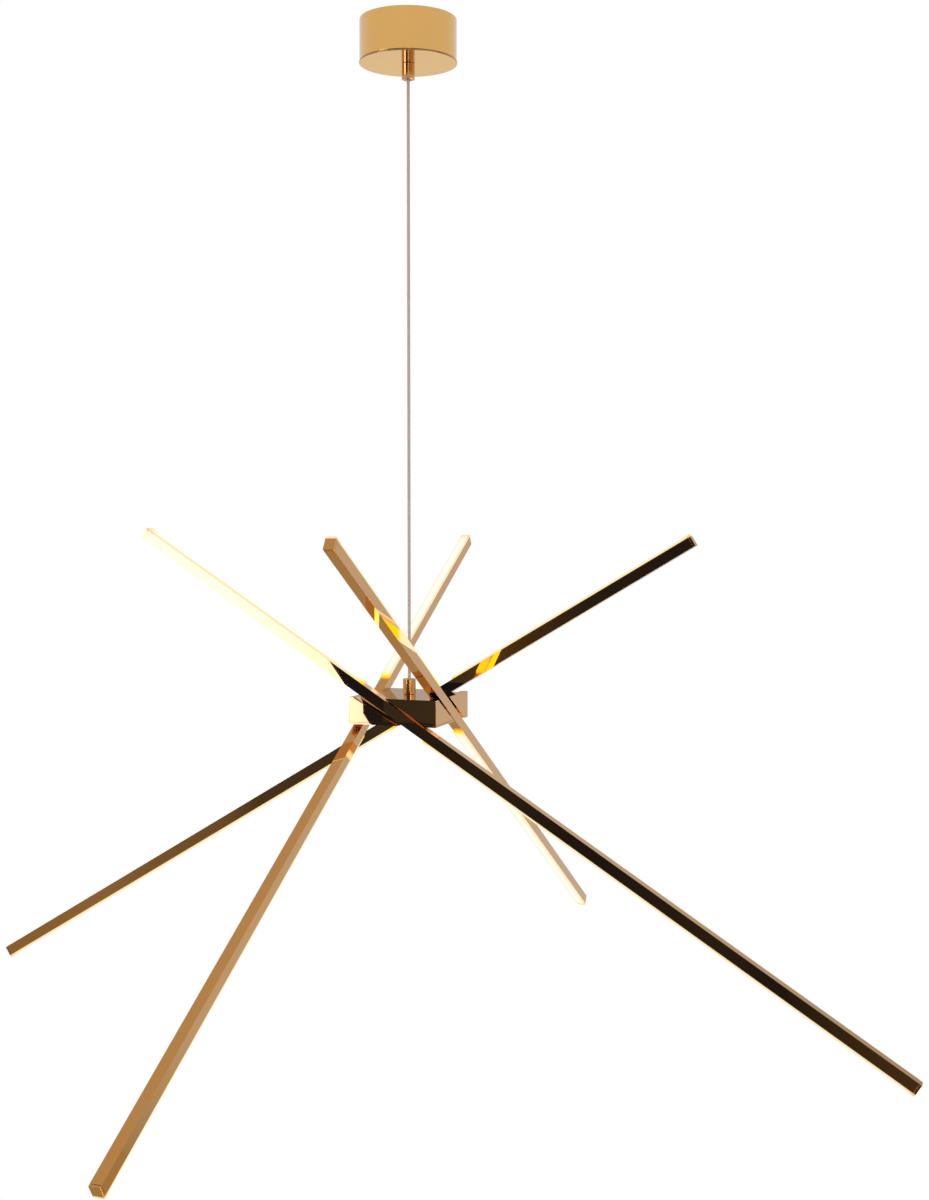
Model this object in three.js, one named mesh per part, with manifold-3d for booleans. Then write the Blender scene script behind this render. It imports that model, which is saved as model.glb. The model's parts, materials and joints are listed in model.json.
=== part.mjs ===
// Multi-arm LED pendant: four straight light bars lean in slots around a square hub,
// and the hub hangs on one cable from a round ceiling canopy.
// Millimetres, +Z up. The origin is the centre of the face that meets the ceiling.
import * as THREE from 'three';
import { mergeVertices } from 'three/addons/utils/BufferGeometryUtils.js';
import Module from 'manifold-3d';

const wasm = await Module();
wasm.setup();

// ---------- driving dimensions ----------
const GAP = 0.3; // clearance between pieces that rest on each other

const CANOPY_RADIUS = 52;
const CANOPY_HEIGHT = 46;
const CANOPY_WALL = 1.5;
const BASE_OVERHANG = 0.5; // the base disc stands this far outside the drum
const BASE_THICKNESS = 1.6;
const FLANGE_WIDTH = 6; // inner flange of the drum that the base disc is welded to
const FITTINGS_TURN = 20; // degrees from the hub's axes to the ceiling bracket

const BRACKET_LENGTH = 96;
const BRACKET_WIDTH = 24;
const BRACKET_THICKNESS = 2;
const BRACKET_EAR = 14;
const BRACKET_SLOT = { length: 12, width: 4.6, spacing: 54 };
const WIRE_HOLE_RADIUS = 4;
const SIDE_SCREW = { radius: 2, length: 5.4, depth: 8 };

const DRIVER = { length: 64, width: 29, height: 22, offset: 21.5 };
const TERMINAL = { length: 30, width: 16, height: 14, offset: -16 };

const FITTING_RADIUS = 7; // the matching cylinders on canopy and hub
const FITTING_LENGTH = 17;
const FITTING_CHAMFER = 0.5;
const NIPPLE_RADIUS = 5; // M10 threaded tube
const NIPPLE_LENGTH = 10;
const NIPPLE_NUT = { flats: 14, thickness: 3 };
const BORE_RADIUS = 2.5;
const MOUTH_RADIUS = 3.6; // the cable grip is flared where the cable swings
const MOUTH_DEPTH = 1.9;
const GRIP_SCREW = { radius: 1.5, height: 8 };

const CABLE_RADIUS = 1.7;
const NECK_RADIUS = 1.65; // short stretch of cable that the two swings turn about
const PIVOT_ABOVE_MOUTH = 2.4;
const NECK_SPACE = 2; // from the pivot to the cable above and below it

const HUB_SIDE = 100;
const HUB_HEIGHT = 28.8;
const HUB_Z = -738; // height of the hub's centre
const HUB_TOP_WALL = 2.5;
const HUB_PLATE = 2; // thickness of the bottom plate
const HUB_CORNER = 0.6;
const CHANNEL_FLOOR = 2; // wall between a bar's channel and the pocket
const CHANNEL_TILT = 30.5; // degrees
const CHANNEL_ABOVE = 2.2; // clearance over a bar
const CHANNEL_BELOW = 3.6; // clearance under a bar
const CHANNEL_BEHIND = 0.4;
const PLATE_SCREW = { inset: 5, head: 2.8, shank: 1.4, length: 9 };
const CONNECTOR = { length: 26, width: 18, height: 9 };
const FERRULE = { radius: 4, length: 5.2 };

const BAR_WIDTH = 11;
const BAR_HEIGHT = 11.4;
const BAR_WALL = 1.2;
const BAR_UPPER = 355; // from the pivot to the upper end
const BAR_LOWER = 645; // from the pivot to the lower end
const BAR_RECESS = 1; // the bars lie this far inside the hub's faces
const CAP_THICKNESS = 2.5;
const CAP_PLUG = 3.5;
const LIGHT_START = 45; // no light within this distance of the pivot
const LIGHT_END = 7; // from a bar's end to its window
const LENS_PROUD = 2.4; // the lenses stand this far above the bar's face, as wide as the bar
const LENS_STEM = 1.6; // depth of a lens's stem in the window
const STRIP = { width: 7.6, thickness: 1.2, shorter: 2 };
const STUD = { shank: 3, bore: 1.6, head: 4, headLength: 1.8, end: 5 };
const STUD_NUT = { flats: 10, thickness: 3 };

// the four bars, each with its own tilt below the horizontal, in degrees
const ARMS = [
  { name: 'front_arm', turn: 0, tilt: 32.1 },
  { name: 'right_arm', turn: 90, tilt: 31.3 },
  { name: 'back_arm', turn: 180, tilt: 31.0 },
  { name: 'left_arm', turn: 270, tilt: 29.9 },
];

// ---------- worked-out places ----------
const rad = THREE.MathUtils.degToRad;
const baseTop = -CANOPY_HEIGHT + BASE_THICKNESS;
const gripTop = -CANOPY_HEIGHT - GAP;
const gripBottom = gripTop - FITTING_LENGTH + GAP;
const swingPivot = gripBottom + PIVOT_ABOVE_MOUTH;
const hubTop = HUB_HEIGHT / 2;
const hubBottom = -HUB_HEIGHT / 2;
const pocketTop = hubTop - HUB_TOP_WALL;
const plateTop = hubBottom + HUB_PLATE;
const glandBottom = hubTop + GAP;
const nippleEnd = glandBottom - NIPPLE_LENGTH;
const armOffset = HUB_SIDE / 2 - BAR_RECESS - BAR_WIDTH / 2;
const barInner = armOffset - BAR_WIDTH / 2;
const channelFloor = barInner - CHANNEL_BEHIND;
const pocketHalf = channelFloor - CHANNEL_FLOOR;

// ---------- materials ----------
const polishedGold = new THREE.MeshStandardMaterial({ color: 0xd8a860, roughness: 0.06, metalness: 1 });
const warmOpal = new THREE.MeshStandardMaterial({
  color: 0xfff4dc, roughness: 0.5, metalness: 0, emissive: 0xffe0a0, emissiveIntensity: 1,
});
const zincSteel = new THREE.MeshStandardMaterial({ color: 0xb4b6b8, roughness: 0.4, metalness: 1 });
const boardWhite = new THREE.MeshStandardMaterial({ color: 0xe9e4d6, roughness: 0.6, metalness: 0 });
const plasticWhite = new THREE.MeshStandardMaterial({ color: 0xe4e4e0, roughness: 0.5, metalness: 0 });
const cableGrey = new THREE.MeshStandardMaterial({ color: 0x9b8f8f, roughness: 0.45, metalness: 0.2 });

// ---------- shape helpers ----------
function box(x0, x1, y0, y1, z0, z1) {
  const geometry = new THREE.BoxGeometry(x1 - x0, y1 - y0, z1 - z0);
  return geometry.translate((x0 + x1) / 2, (y0 + y1) / 2, (z0 + z1) / 2);
}

function rod(radius, z0, z1, sides = 24) {
  const geometry = new THREE.CylinderGeometry(radius, radius, z1 - z0, sides);
  return geometry.rotateX(Math.PI / 2).translate(0, 0, (z0 + z1) / 2);
}

// a solid of revolution about Z; the outline [radius, z] runs up its outer side
function turned(outline, sides = 32) {
  const points = outline.map(([radius, z]) => new THREE.Vector2(radius, z));
  return new THREE.LatheGeometry(points, sides).rotateX(Math.PI / 2);
}

function ring(inner, outer, z0, z1, sides = 32) {
  return turned([[inner, z0], [outer, z0], [outer, z1], [inner, z1], [inner, z0]], sides);
}

function hexNut(flats, hole, z0, thickness) {
  const corner = flats / Math.sqrt(3);
  const outline = new THREE.Shape();
  for (let i = 0; i < 6; i += 1) {
    const angle = i * Math.PI / 3;
    const x = corner * Math.cos(angle);
    const y = corner * Math.sin(angle);
    if (i === 0) outline.moveTo(x, y);
    else outline.lineTo(x, y);
  }
  outline.closePath();
  const bore = new THREE.Path();
  bore.absarc(0, 0, hole, 0, 2 * Math.PI, true);
  outline.holes.push(bore);
  const geometry = new THREE.ExtrudeGeometry(outline, {
    depth: thickness, bevelEnabled: false, curveSegments: 12,
  });
  return geometry.translate(0, 0, z0);
}

// a rectangle in X and Y with rounded corners, from z0 to z1
function roundedBlock(side, radius, z0, z1) {
  const half = side / 2;
  const outline = new THREE.Shape();
  outline.moveTo(half, -half + radius);
  outline.absarc(half - radius, half - radius, radius, 0, Math.PI / 2, false);
  outline.absarc(-half + radius, half - radius, radius, Math.PI / 2, Math.PI, false);
  outline.absarc(-half + radius, -half + radius, radius, Math.PI, 1.5 * Math.PI, false);
  outline.absarc(half - radius, -half + radius, radius, 1.5 * Math.PI, 2 * Math.PI, false);
  const geometry = new THREE.ExtrudeGeometry(outline, {
    depth: z1 - z0, bevelEnabled: false, curveSegments: 3,
  });
  return geometry.translate(0, 0, z0);
}

function tube(points, radius, sides, steps) {
  const section = new THREE.Shape();
  for (let i = 0; i < sides; i += 1) {
    const angle = i * 2 * Math.PI / sides;
    const x = radius * Math.cos(angle);
    const y = radius * Math.sin(angle);
    if (i === 0) section.moveTo(x, y);
    else section.lineTo(x, y);
  }
  section.closePath();
  const route = new THREE.CatmullRomCurve3(points.map((p) => new THREE.Vector3(...p)));
  return new THREE.ExtrudeGeometry(section, { steps, bevelEnabled: false, extrudePath: route });
}

// ---------- solid joins and cuts ----------
function toSolid(geometry) {
  const plain = geometry.clone();
  plain.deleteAttribute('normal');
  plain.deleteAttribute('uv');
  const merged = mergeVertices(plain, 1e-4);
  const corners = merged.index.array;
  const triangles = [];
  for (let i = 0; i < corners.length; i += 3) {
    const [a, b, c] = corners.slice(i, i + 3);
    if (a !== b && b !== c && c !== a) triangles.push(a, b, c);
  }
  return new wasm.Manifold(new wasm.Mesh({
    numProp: 3,
    vertProperties: new Float32Array(merged.attributes.position.array),
    triVerts: new Uint32Array(triangles),
  }));
}

function toGeometry(solid) {
  const mesh = solid.getMesh();
  const geometry = new THREE.BufferGeometry();
  geometry.setAttribute('position', new THREE.BufferAttribute(mesh.vertProperties, 3));
  geometry.setIndex(new THREE.BufferAttribute(mesh.triVerts, 1));
  const flat = geometry.toNonIndexed();
  flat.computeVertexNormals();
  return flat;
}

function cut(geometry, ...tools) {
  const solid = tools.reduce((rest, tool) => rest.subtract(toSolid(tool)), toSolid(geometry));
  return toGeometry(solid);
}

function join(geometry, ...others) {
  const solid = others.reduce((rest, other) => rest.add(toSolid(other)), toSolid(geometry));
  return toGeometry(solid);
}

function add(group, name, geometry, material) {
  const mesh = new THREE.Mesh(geometry, material);
  mesh.name = name;
  group.add(mesh);
  return mesh;
}

// ---------- shared fittings ----------
// cylinder with a threaded nipple; local z = 0 is the seat, the nipple points up
function fittingBody(mouthRadius) {
  const end = -FITTING_LENGTH + GAP;
  return turned([
    [BORE_RADIUS, end + MOUTH_DEPTH],
    [mouthRadius, end],
    [FITTING_RADIUS - FITTING_CHAMFER, end],
    [FITTING_RADIUS, end + FITTING_CHAMFER],
    [FITTING_RADIUS, 0],
    [NIPPLE_RADIUS, 0],
    [NIPPLE_RADIUS, NIPPLE_LENGTH],
    [BORE_RADIUS, NIPPLE_LENGTH],
    [BORE_RADIUS, end + MOUTH_DEPTH],
  ], 40);
}

// ---------- canopy ----------
function ceilingBracket() {
  const half = BRACKET_LENGTH / 2;
  const wide = BRACKET_WIDTH / 2;
  const plate = box(-half, half, -wide, wide, -BRACKET_THICKNESS, 0);
  const ears = [-1, 1].map((side) => {
    const inner = side * (half - BRACKET_THICKNESS);
    const outer = side * half;
    return box(Math.min(inner, outer), Math.max(inner, outer), -wide, wide, -BRACKET_EAR, 0);
  });
  const screwSlots = [-1, 1].map((side) => {
    const centre = side * BRACKET_SLOT.spacing / 2;
    const reach = BRACKET_SLOT.length / 2;
    const width = BRACKET_SLOT.width / 2;
    return box(centre - reach, centre + reach, -width, width, -BRACKET_THICKNESS - 1, 1);
  });
  const wireHole = rod(WIRE_HOLE_RADIUS, -BRACKET_THICKNESS - 1, 1).translate(13, 0, 0);
  const screwHole = rod(SIDE_SCREW.radius + GAP, -half - 1, half + 1, 16);
  screwHole.rotateY(Math.PI / 2).translate(0, 0, -SIDE_SCREW.depth);
  return cut(join(plate, ...ears), ...screwSlots, wireHole, screwHole);
}

function canopyDrum() {
  const inner = CANOPY_RADIUS - CANOPY_WALL;
  const bottom = baseTop + GAP;
  const wall = turned([
    [inner - FLANGE_WIDTH, bottom],
    [CANOPY_RADIUS, bottom],
    [CANOPY_RADIUS, 0],
    [inner, 0],
    [inner, bottom + CANOPY_WALL],
    [inner - FLANGE_WIDTH, bottom + CANOPY_WALL],
    [inner - FLANGE_WIDTH, bottom],
  ], 72);
  const reach = CANOPY_RADIUS + 1;
  const screwHole = rod(SIDE_SCREW.radius + GAP, -reach, reach, 16);
  screwHole.rotateY(Math.PI / 2).rotateZ(rad(FITTINGS_TURN)).translate(0, 0, -SIDE_SCREW.depth);
  return cut(wall, screwHole);
}

function gripWithScrewHole() {
  const hole = rod(GRIP_SCREW.radius + GAP, 0, FITTING_RADIUS + 1, 16);
  hole.rotateX(-Math.PI / 2).translate(0, 0, -GRIP_SCREW.height);
  return cut(fittingBody(MOUTH_RADIUS), hole);
}

function buildCanopy() {
  const canopy = new THREE.Group();
  add(canopy, 'canopy_drum', canopyDrum(), polishedGold);
  const baseRadius = CANOPY_RADIUS + BASE_OVERHANG;
  const base = ring(NIPPLE_RADIUS + GAP, baseRadius, -CANOPY_HEIGHT, baseTop, 72);
  add(canopy, 'canopy_base', base, polishedGold);

  const fittings = new THREE.Group();
  fittings.rotation.z = rad(FITTINGS_TURN);
  canopy.add(fittings);
  add(fittings, 'ceiling_bracket', ceilingBracket(), zincSteel);
  for (const [name, side] of [['left', -1], ['right', 1]]) {
    const outer = CANOPY_RADIUS - 0.1;
    const screw = rod(SIDE_SCREW.radius, outer - SIDE_SCREW.length, outer, 16);
    screw.rotateY(side * Math.PI / 2).translate(0, 0, -SIDE_SCREW.depth);
    add(fittings, `canopy_side_screw_${name}`, screw, polishedGold);
  }
  const under = -BRACKET_THICKNESS - GAP;
  for (const [name, size] of [['led_driver', DRIVER], ['mains_terminal_block', TERMINAL]]) {
    const block = box(
      -size.length / 2, size.length / 2,
      size.offset - size.width / 2, size.offset + size.width / 2,
      under - size.height, under,
    );
    add(fittings, name, block, plasticWhite);
  }

  const grip = new THREE.Group();
  grip.position.z = gripTop;
  canopy.add(grip);
  add(grip, 'cable_grip', gripWithScrewHole(), polishedGold);
  const nutBottom = CANOPY_HEIGHT + baseTop + 2 * GAP;
  const nut = hexNut(NIPPLE_NUT.flats, NIPPLE_RADIUS + GAP, nutBottom, NIPPLE_NUT.thickness);
  add(grip, 'cable_grip_nut', nut, zincSteel);
  const gripScrew = rod(GRIP_SCREW.radius, CABLE_RADIUS + 2 * GAP, FITTING_RADIUS - 0.2, 16);
  gripScrew.rotateX(-Math.PI / 2).translate(0, 0, -GRIP_SCREW.height);
  add(grip, 'cable_grip_screw', gripScrew, zincSteel);
  return canopy;
}

// ---------- cable ----------
// inside the canopy the cable rises from the grip and turns into the driver's end
const TAIL_ROUTE = [
  [0, 0, swingPivot + NECK_SPACE],
  [0, 0, -50],
  [0, 0, -42],
  [0, 0, -36],
  [-3, 0, -30.5],
  [-10, 0, -27.5],
  [-19, 0, -25.5],
  [-28, 1, -22.5],
  [-35, 4, -19],
  [-39.5, 9, -16.5],
  [-41.5, 14.5, -15],
  [-40, 19, -14.3],
  [-36.5, DRIVER.offset, -14],
  [-DRIVER.length / 2 - 2 * GAP, DRIVER.offset, -14],
];

function buildCable() {
  const cable = new THREE.Group();
  const tail = add(cable, 'cable_tail', tube(TAIL_ROUTE, CABLE_RADIUS, 8, 30), cableGrey);
  tail.rotation.z = rad(FITTINGS_TURN);
  const neck = add(cable, 'cable_neck', new THREE.SphereGeometry(NECK_RADIUS, 16, 10), cableGrey);
  neck.position.z = swingPivot;
  const top = swingPivot - NECK_SPACE;
  const bottom = HUB_Z + nippleEnd;
  const middle = (top + bottom) / 2;
  const route = [[0, 0, top], [0, 0, middle], [0, 0, bottom]];
  add(cable, 'suspension_cable', tube(route, CABLE_RADIUS, 8, 80), cableGrey);
  const ferrule = rod(FERRULE.radius, -FERRULE.length, 0);
  ferrule.translate(0, 0, bottom - GAP);
  add(cable, 'cable_ferrule', ferrule, zincSteel);
  return cable;
}

// ---------- hub ----------
// matrix from a bar's own frame to the hub's frame
function armFrame(turn, tilt) {
  const frame = new THREE.Matrix4().makeRotationZ(rad(turn));
  frame.multiply(new THREE.Matrix4().makeTranslation(0, -armOffset, 0));
  frame.multiply(new THREE.Matrix4().makeRotationY(rad(tilt)));
  return frame;
}

function channel(turn) {
  const low = -BAR_HEIGHT / 2 - CHANNEL_BELOW;
  const high = BAR_HEIGHT / 2 + CHANNEL_ABOVE;
  const behind = BAR_WIDTH / 2 + CHANNEL_BEHIND;
  const space = box(-HUB_SIDE, HUB_SIDE, -BAR_WIDTH, behind, low, high);
  return space.applyMatrix4(armFrame(turn, CHANNEL_TILT));
}

function studHole(turn) {
  const hole = rod(STUD.shank + GAP, -HUB_SIDE / 2, -pocketHalf / 2, 16);
  return hole.rotateX(-Math.PI / 2).rotateZ(rad(turn));
}

function plateScrewPlaces() {
  const reach = HUB_SIDE / 2 - PLATE_SCREW.inset;
  return [
    ['front_left', -reach, -reach],
    ['front_right', reach, -reach],
    ['back_right', reach, reach],
    ['back_left', -reach, reach],
  ];
}

function hubBody() {
  const block = roundedBlock(HUB_SIDE, HUB_CORNER, plateTop + GAP, hubTop);
  const pocket = box(-pocketHalf, pocketHalf, -pocketHalf, pocketHalf, hubBottom, pocketTop);
  const topHole = rod(NIPPLE_RADIUS + GAP, 0, hubTop + 1, 32);
  const screwTop = hubBottom + PLATE_SCREW.length + GAP;
  const screwHoles = plateScrewPlaces().map(([, x, y]) => (
    rod(PLATE_SCREW.shank + GAP, hubBottom, screwTop, 16).translate(x, y, 0)
  ));
  const channels = ARMS.map((arm) => channel(arm.turn));
  const studHoles = ARMS.map((arm) => studHole(arm.turn));
  return cut(block, pocket, topHole, ...screwHoles, ...channels, ...studHoles);
}

function hubPlate() {
  const plate = roundedBlock(HUB_SIDE, HUB_CORNER, hubBottom, plateTop);
  const sinks = plateScrewPlaces().map(([, x, y]) => turned([
    [0, hubBottom - 1],
    [PLATE_SCREW.head + GAP + 1, hubBottom - 1],
    [PLATE_SCREW.shank + GAP, plateTop - 0.3],
    [PLATE_SCREW.shank + GAP, plateTop + 1],
    [0, plateTop + 1],
  ], 20).translate(x, y, 0));
  return cut(plate, ...sinks, ...ARMS.map((arm) => channel(arm.turn)));
}

function plateScrew() {
  const bottom = hubBottom + 0.1;
  return turned([
    [0, bottom],
    [PLATE_SCREW.head, bottom],
    [PLATE_SCREW.shank, plateTop - 0.3],
    [PLATE_SCREW.shank, bottom + PLATE_SCREW.length],
    [0, bottom + PLATE_SCREW.length],
  ], 20);
}

// the bar turns about this hollow stud, and the bar's leads pass through it
function pivotStud() {
  const headStart = barInner + BAR_WALL + GAP;
  const shankStart = pocketHalf - STUD.end;
  const stud = turned([
    [STUD.bore, shankStart],
    [STUD.shank, shankStart],
    [STUD.shank, headStart],
    [STUD.head, headStart],
    [STUD.head, headStart + STUD.headLength],
    [STUD.bore, headStart + STUD.headLength],
    [STUD.bore, shankStart],
  ], 20);
  return stud.rotateX(Math.PI / 2);
}

function pivotNut() {
  const start = pocketHalf - GAP - STUD_NUT.thickness;
  const nut = hexNut(STUD_NUT.flats, STUD.shank + GAP, start, STUD_NUT.thickness);
  return nut.rotateX(Math.PI / 2);
}

function buildHub() {
  const hub = new THREE.Group();
  hub.position.z = HUB_Z;
  add(hub, 'hub_body', hubBody(), polishedGold);
  add(hub, 'hub_bottom_plate', hubPlate(), polishedGold);
  for (const [corner, x, y] of plateScrewPlaces()) {
    const screw = add(hub, `plate_screw_${corner}`, plateScrew(), polishedGold);
    screw.position.set(x, y, 0);
  }
  const gland = add(hub, 'hub_gland', fittingBody(BORE_RADIUS + 0.4), polishedGold);
  gland.rotation.x = Math.PI;
  gland.position.z = glandBottom;
  const nutBottom = pocketTop - GAP - NIPPLE_NUT.thickness;
  const nut = hexNut(NIPPLE_NUT.flats, NIPPLE_RADIUS + GAP, nutBottom, NIPPLE_NUT.thickness);
  add(hub, 'hub_gland_nut', nut, zincSteel);
  const connector = box(
    -CONNECTOR.length / 2, CONNECTOR.length / 2,
    -CONNECTOR.width / 2, CONNECTOR.width / 2,
    plateTop + GAP, plateTop + GAP + CONNECTOR.height,
  );
  add(hub, 'wire_connector', connector, plasticWhite);
  for (const arm of ARMS) {
    const side = new THREE.Group();
    side.rotation.z = rad(arm.turn);
    hub.add(side);
    add(side, `${arm.name}_pivot_stud`, pivotStud(), zincSteel);
    add(side, `${arm.name}_pivot_nut`, pivotNut(), zincSteel);
  }
  return hub;
}

// ---------- light bars ----------
// A bar's own frame: X runs down to its lower end, -Y is its outer side, Z is its top side.
// The upper part shines from the top side, the lower part from the underside.
const LIGHTS = [
  { part: 'upper', from: -BAR_UPPER + LIGHT_END, to: -LIGHT_START, side: 1 },
  { part: 'lower', from: LIGHT_START, to: BAR_LOWER - LIGHT_END, side: -1 },
];

// a lens's head covers its window and runs on over the end cap to the bar's very end
const LENS_HEADS = {
  upper: { from: -BAR_UPPER, to: -LIGHT_START, side: 1 },
  lower: { from: LIGHT_START, to: BAR_LOWER, side: -1 },
};

// box across the bar's inside width, between two heights counted towards the lit side
function acrossBar(light, shorter, width, low, high) {
  const z0 = Math.min(light.side * low, light.side * high);
  const z1 = Math.max(light.side * low, light.side * high);
  return box(light.from + shorter, light.to - shorter, -width / 2, width / 2, z0, z1);
}

function barProfile() {
  const from = -BAR_UPPER + CAP_THICKNESS + GAP;
  const to = BAR_LOWER - CAP_THICKNESS - GAP;
  const halfWidth = BAR_WIDTH / 2;
  const halfHeight = BAR_HEIGHT / 2;
  const inside = halfWidth - BAR_WALL;
  const clear = halfHeight - BAR_WALL;
  const outer = box(from, to, -halfWidth, halfWidth, -halfHeight, halfHeight);
  const hollow = box(from - 1, to + 1, -inside, inside, -clear, clear);
  const windows = LIGHTS.map((light) => acrossBar(light, 0, 2 * inside, 0, BAR_HEIGHT));
  const hole = rod(STUD.shank + GAP, 0, BAR_WIDTH, 16).rotateX(-Math.PI / 2);
  return cut(outer, hollow, ...windows, hole);
}

function opalLens(light) {
  const face = BAR_HEIGHT / 2;
  const stemWidth = BAR_WIDTH - 2 * BAR_WALL - 2 * GAP;
  const head = acrossBar(LENS_HEADS[light.part], 0, BAR_WIDTH, face + GAP, face + LENS_PROUD);
  const stem = acrossBar(light, GAP, stemWidth, face - LENS_STEM, face + 2 * GAP);
  return join(head, stem);
}

function endCap(end, outward) {
  const halfWidth = BAR_WIDTH / 2;
  const halfHeight = BAR_HEIGHT / 2;
  const plugWidth = halfWidth - BAR_WALL - GAP;
  const plugHeight = halfHeight - BAR_WALL - GAP;
  const inner = end - outward * CAP_THICKNESS;
  const plugEnd = inner - outward * CAP_PLUG;
  const low = Math.min(end, inner);
  const high = Math.max(end, inner);
  const plate = box(low, high, -halfWidth, halfWidth, -halfHeight, halfHeight);
  const plugLow = Math.min(plugEnd, inner + outward * 0.5);
  const plugHigh = Math.max(plugEnd, inner + outward * 0.5);
  const plug = box(plugLow, plugHigh, -plugWidth, plugWidth, -plugHeight, plugHeight);
  return join(plate, plug);
}

function buildArm({ name, turn, tilt }) {
  const arm = new THREE.Group();
  armFrame(turn, tilt).decompose(arm.position, arm.quaternion, arm.scale);
  add(arm, `${name}_profile`, barProfile(), polishedGold);
  add(arm, `${name}_upper_cap`, endCap(-BAR_UPPER, -1), polishedGold);
  add(arm, `${name}_lower_cap`, endCap(BAR_LOWER, 1), polishedGold);
  const back = -BAR_HEIGHT / 2 + BAR_WALL + GAP;
  for (const light of LIGHTS) {
    add(arm, `${name}_${light.part}_diffuser`, opalLens(light), warmOpal);
    const strip = acrossBar(light, STRIP.shorter, STRIP.width, back, back + STRIP.thickness);
    add(arm, `${name}_${light.part}_led_strip`, strip, boardWhite);
  }
  return arm;
}

// ---------- assembly ----------
const chandelier = new THREE.Group();
chandelier.add(buildCanopy());
chandelier.add(buildCable());
const hub = buildHub();
for (const arm of ARMS) hub.add(buildArm(arm));
chandelier.add(hub);

export default chandelier;
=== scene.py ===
"""Looks for the multi arm chandelier: mirror gold bars, hub and canopy, lit opal lenses and a braided cable.

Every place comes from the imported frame. Units are metres.
"""
import json
import math

import bmesh
import bpy
from mathutils import Matrix, Vector


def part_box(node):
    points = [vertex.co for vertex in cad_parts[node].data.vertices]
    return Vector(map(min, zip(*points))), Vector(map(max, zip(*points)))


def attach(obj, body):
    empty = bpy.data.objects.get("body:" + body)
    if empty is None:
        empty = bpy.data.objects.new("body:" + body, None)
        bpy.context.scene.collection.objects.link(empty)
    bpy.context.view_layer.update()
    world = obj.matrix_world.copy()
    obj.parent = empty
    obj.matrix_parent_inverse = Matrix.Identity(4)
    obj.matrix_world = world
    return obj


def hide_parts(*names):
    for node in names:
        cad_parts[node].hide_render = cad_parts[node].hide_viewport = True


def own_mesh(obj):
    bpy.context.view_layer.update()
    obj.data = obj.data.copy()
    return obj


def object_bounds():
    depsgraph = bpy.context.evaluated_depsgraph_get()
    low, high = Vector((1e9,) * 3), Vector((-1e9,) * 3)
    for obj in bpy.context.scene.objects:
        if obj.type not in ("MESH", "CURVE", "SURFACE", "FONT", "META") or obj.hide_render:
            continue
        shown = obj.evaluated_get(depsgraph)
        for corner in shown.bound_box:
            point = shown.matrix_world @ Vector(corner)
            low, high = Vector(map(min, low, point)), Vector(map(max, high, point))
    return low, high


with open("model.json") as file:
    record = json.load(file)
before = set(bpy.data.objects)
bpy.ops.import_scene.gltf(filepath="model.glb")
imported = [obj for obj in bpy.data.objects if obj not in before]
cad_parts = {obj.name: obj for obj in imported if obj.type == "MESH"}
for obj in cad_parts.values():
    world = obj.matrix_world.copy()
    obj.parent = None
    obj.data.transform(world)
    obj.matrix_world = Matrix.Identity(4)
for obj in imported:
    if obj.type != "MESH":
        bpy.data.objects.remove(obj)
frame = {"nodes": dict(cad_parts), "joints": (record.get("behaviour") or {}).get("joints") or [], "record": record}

cad_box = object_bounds()
MM = 0.001
ARMS = ("front_arm", "right_arm", "back_arm", "left_arm")
JOINTS = {joint["name"]: joint for joint in frame["joints"]}
BODY_OF = {node: body for body, nodes in frame["record"]["behaviour"]["bodies"].items() for node in nodes}
SLOT_OF = {row["node"]: row["material_slot"] for row in frame["record"]["subparts"]}


# ---------- places read from the frame ----------
def points_of(node):
    """A CAD node's corners at rest."""
    return [vertex.co.copy() for vertex in frame["nodes"][node].data.vertices]


def middle(node):
    low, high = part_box(node)
    return (low + high) / 2


HUB_CENTRE = Vector(JOINTS["hub_swivel"]["pos_m"])


def end_middle(points, direction):
    """Middle of the face at the far end of a straight piece."""
    reach = max(point.dot(direction) for point in points)
    face = [point for point in points if point.dot(direction) > reach - 0.5 * MM]
    return sum(face, Vector()) / len(face)


def arm_frame(arm):
    """A bar's own frame: X runs down to its lower end, -Y is its outer side, Z is its top side."""
    joint = JOINTS[f"{arm}_tilt"]
    across = Vector(joint["axis"]).normalized()
    rough = (middle(f"{arm}_lower_cap") - middle(f"{arm}_upper_cap")).normalized()
    points = points_of(f"{arm}_profile")
    along = (end_middle(points, rough) - end_middle(points, -rough)).normalized()
    up = along.cross(across).normalized()
    matrix = Matrix((along, across, up)).transposed().to_4x4()
    matrix.translation = Vector(joint["pos_m"])
    return matrix


def local_box(node, matrix):
    """(lowest, highest) corner of a node in another frame."""
    inverse = matrix.inverted()
    local = [inverse @ point for point in points_of(node)]
    low = Vector([min(p[i] for p in local) for i in range(3)])
    high = Vector([max(p[i] for p in local) for i in range(3)])
    return low, high


# ---------- camera ----------
CAMERA_FROM_HUB = Vector((0.6489, -1.6290, 0.2138))
CAMERA_TURN = math.radians(19.75)
CAMERA_PITCH = math.radians(-3.15)
LENS = 48.32


def make_camera():
    data = bpy.data.cameras.new("camera")
    data.lens = LENS
    data.sensor_width = 36
    data.clip_end = 100
    camera = bpy.data.objects.new("camera", data)
    bpy.context.scene.collection.objects.link(camera)
    camera.location = HUB_CENTRE + CAMERA_FROM_HUB
    camera.rotation_euler = (math.pi / 2 + CAMERA_PITCH, 0, CAMERA_TURN)
    bpy.context.scene.camera = camera


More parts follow.
